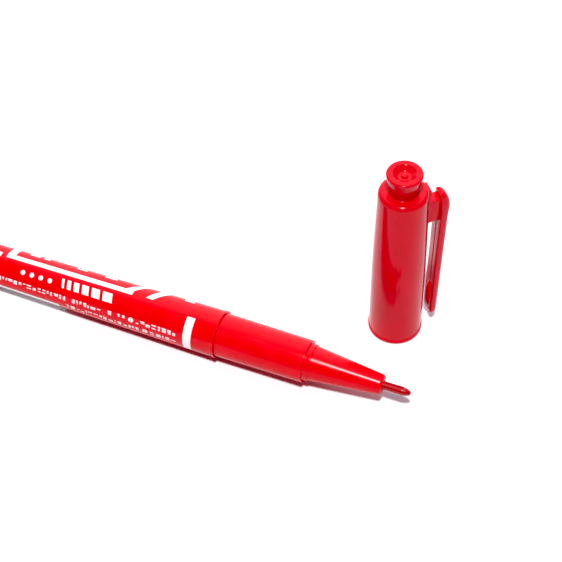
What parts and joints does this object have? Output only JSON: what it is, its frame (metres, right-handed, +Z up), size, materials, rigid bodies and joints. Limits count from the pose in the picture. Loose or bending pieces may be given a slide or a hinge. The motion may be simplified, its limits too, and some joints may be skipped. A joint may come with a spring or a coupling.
{
  "type": "twin-tip calligraphy marker",
  "caption": "Red twin-tip marker lying beside its upright clip cap: fine bullet nib in a long cone, chisel nib under a short rear cap.",
  "frame": {"origin": "on the floor, under the middle of the pen and its standing cap together", "axes": "+X along the lying pen, towards its fine nib; +Y towards the standing cap; +Z up"},
  "size_m": [0.131, 0.034, 0.0479],
  "materials": {
    "barrel_plastic": "glossy moulded red plastic with plain white printed marks",
    "section_plastic": "glossy moulded red plastic",
    "cap_plastic": "glossy moulded red plastic",
    "fine_nib_fibre": "bonded fibre, wet with red ink",
    "chisel_nib_felt": "felt, wet with red ink",
    "reservoir_fibre": "fibre rod soaked with red ink",
    "sleeve_film": "thin clear film",
    "seal_plastic": "milky soft plastic"
  },
  "bodies": {
    "pen": {"barrel": "barrel_plastic", "front_section": "section_plastic", "fine_nib": "fine_nib_fibre", "ink_reservoir": "reservoir_fibre", "reservoir_sleeve": "sleeve_film", "rear_section": "section_plastic", "chisel_nib": "chisel_nib_felt"},
    "cap": {"front_cap": "cap_plastic", "front_cap_seal": "seal_plastic"},
    "clip": {"clip": "cap_plastic"},
    "rear_cap": {"rear_cap": "cap_plastic", "rear_cap_seal": "seal_plastic"}
  },
  "joints": [
    {"name": "cap_lift", "type": "slide", "parent": "pen", "child": "cap", "axis": [0, 0, 1], "range_m": [0, 0.06]},
    {"name": "clip_flex", "type": "hinge", "parent": "cap", "child": "clip", "pos_m": [0.061, 0.01389, 0.0357], "axis": [0.6428, -0.766, 0], "range_deg": [0, 5], "stiffness_Nm_per_rad": 0.4},
    {"name": "rear_cap_pull", "type": "slide", "parent": "pen", "child": "rear_cap", "axis": [-1, 0, 0], "range_m": [0, 0.045]}
  ]
}
